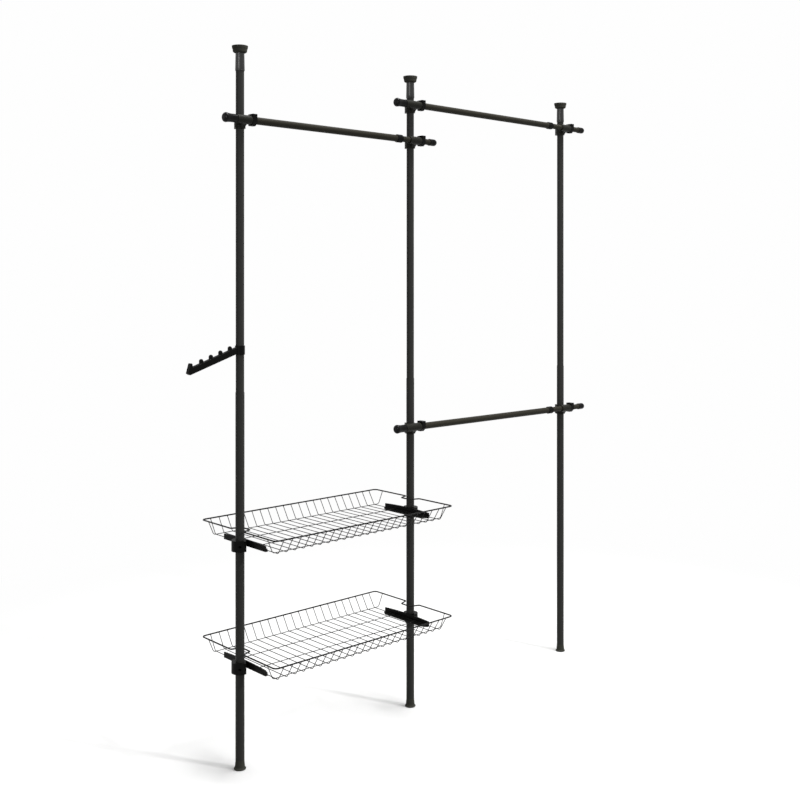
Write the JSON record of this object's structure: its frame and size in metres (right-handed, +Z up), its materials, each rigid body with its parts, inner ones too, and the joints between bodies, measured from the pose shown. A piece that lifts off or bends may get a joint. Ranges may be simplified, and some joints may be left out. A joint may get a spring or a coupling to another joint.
{
  "type": "open frame wardrobe",
  "caption": "Floor-to-ceiling open wardrobe of clamped telescopic poles, with hanging rails in moulded cross brackets, wire tray baskets and a sloping peg arm.",
  "frame": {"origin": "on the floor at the centre of the middle foot's underside", "axes": "+X along the row towards the right pole, -Y towards the front, +Z up"},
  "size_m": [2.003, 0.435, 2.4],
  "materials": {
    "pole_tube": "matt black powder coat",
    "rail_tube": "satin black powder coat",
    "basket_wire": "black powder coat",
    "fastener": "black oxide",
    "foot_rubber": "matt black",
    "sleeve_plastic": "satin black",
    "gloss_plastic": "gloss black",
    "moulded_plastic": "fine matt black"
  },
  "bodies": {
    "lower_frame": {"left_lower_tube": "pole_tube", "middle_lower_tube": "pole_tube", "left_foot": "foot_rubber", "middle_foot": "foot_rubber", "right_low_rail_outer_tube": "rail_tube", "right_low_rail_end_plug": "gloss_plastic", "right_low_rail_mouth_ring": "moulded_plastic", "middle_low_bracket": "moulded_plastic", "middle_low_clip": "moulded_plastic", "lower_frame_bolts": "fastener", "left_upper_basket_arm": "moulded_plastic", "left_lower_basket_arm": "moulded_plastic", "middle_upper_basket_arm": "moulded_plastic", "middle_lower_basket_arm": "moulded_plastic", "basket_clamp_blocks": "moulded_plastic"},
    "upper_frame": {"left_upper_tube": "pole_tube", "middle_upper_tube": "pole_tube", "lock_plugs": "moulded_plastic", "top_bushes": "moulded_plastic", "left_rail_outer_tube": "rail_tube", "left_rail_inner_tube": "rail_tube", "left_rail_end_plug": "gloss_plastic", "left_rail_end_cap": "gloss_plastic", "right_top_rail_outer_tube": "rail_tube", "right_top_rail_end_plug": "gloss_plastic", "upper_rail_mouth_rings": "moulded_plastic", "left_top_bracket": "moulded_plastic", "middle_left_bracket": "moulded_plastic", "middle_top_bracket": "moulded_plastic", "upper_rail_clips": "moulded_plastic", "upper_frame_bolts": "fastener"},
    "right_lower": {"right_lower_tube": "pole_tube", "right_foot": "foot_rubber", "right_low_bracket": "moulded_plastic", "right_low_clip": "moulded_plastic", "right_low_collar_bolt": "fastener", "right_low_rail_inner_tube": "rail_tube", "right_low_rail_end_cap": "gloss_plastic"},
    "right_upper": {"right_upper_tube": "pole_tube", "right_lock_plug": "moulded_plastic", "right_top_bush": "moulded_plastic", "right_top_bracket": "moulded_plastic", "right_top_clip": "moulded_plastic", "right_top_collar_bolt": "fastener", "right_top_rail_inner_tube": "rail_tube", "right_top_rail_end_cap": "gloss_plastic"},
    "left_sleeve": {"left_twist_sleeve": "sleeve_plastic"},
    "middle_sleeve": {"middle_twist_sleeve": "sleeve_plastic"},
    "right_sleeve": {"right_twist_sleeve": "sleeve_plastic"},
    "left_cap": {"left_ceiling_cap": "foot_rubber", "left_jack_screw": "fastener"},
    "middle_cap": {"middle_ceiling_cap": "foot_rubber", "middle_jack_screw": "fastener"},
    "right_cap": {"right_ceiling_cap": "foot_rubber", "right_jack_screw": "fastener"},
    "upper_basket": {"upper_basket_rim": "basket_wire", "upper_basket_mesh": "basket_wire"},
    "lower_basket": {"lower_basket_rim": "basket_wire", "lower_basket_mesh": "basket_wire"},
    "hook_arm": {"hook_arm": "moulded_plastic"}
  },
  "joints": [
    {"name": "height_adjust", "type": "slide", "parent": "lower_frame", "child": "upper_frame", "axis": [0, 0, 1], "range_m": [-0.08, 0.4]},
    {"name": "bay_width", "type": "slide", "parent": "lower_frame", "child": "right_lower", "axis": [1, 0, 0], "range_m": [-0.055, 0.35]},
    {"name": "top_bay_width", "type": "slide", "parent": "upper_frame", "child": "right_upper", "axis": [1, 0, 0], "range_m": [-0.055, 0.35]},
    {"name": "left_sleeve_twist", "type": "hinge", "parent": "upper_frame", "child": "left_sleeve", "pos_m": [-0.776, 0, 2.35], "axis": [0, 0, 1], "range_deg": [0, 1440.1]},
    {"name": "left_cap_rise", "type": "slide", "parent": "upper_frame", "child": "left_cap", "axis": [0, 0, 1], "range_m": [0, 0.032]},
    {"name": "middle_sleeve_twist", "type": "hinge", "parent": "upper_frame", "child": "middle_sleeve", "pos_m": [0, 0, 2.35], "axis": [0, 0, 1], "range_deg": [0, 1440.1]},
    {"name": "middle_cap_rise", "type": "slide", "parent": "upper_frame", "child": "middle_cap", "axis": [0, 0, 1], "range_m": [0, 0.032]},
    {"name": "right_sleeve_twist", "type": "hinge", "parent": "right_upper", "child": "right_sleeve", "pos_m": [0.903, 0, 2.35], "axis": [0, 0, 1], "range_deg": [0, 1440.1]},
    {"name": "right_cap_rise", "type": "slide", "parent": "right_upper", "child": "right_cap", "axis": [0, 0, 1], "range_m": [0, 0.032]},
    {"name": "upper_basket_lift", "type": "slide", "parent": "lower_frame", "child": "upper_basket", "axis": [0, 0, 1], "range_m": [0, 0.15]},
    {"name": "lower_basket_lift", "type": "slide", "parent": "lower_frame", "child": "lower_basket", "axis": [0, 0, 1], "range_m": [0, 0.15]},
    {"name": "hook_swivel", "type": "hinge", "parent": "upper_frame", "child": "hook_arm", "pos_m": [-0.776, 0, 1.3905], "axis": [0, 0, 1], "continuous": true}
  ],
  "couplings": [
    {"joint": "top_bay_width", "follows": "bay_width", "ratio": 1},
    {"joint": "left_sleeve_twist", "follows": "left_cap_rise", "rad_per_m": 785.4},
    {"joint": "middle_sleeve_twist", "follows": "middle_cap_rise", "rad_per_m": 785.4},
    {"joint": "right_sleeve_twist", "follows": "right_cap_rise", "rad_per_m": 785.4}
  ]
}
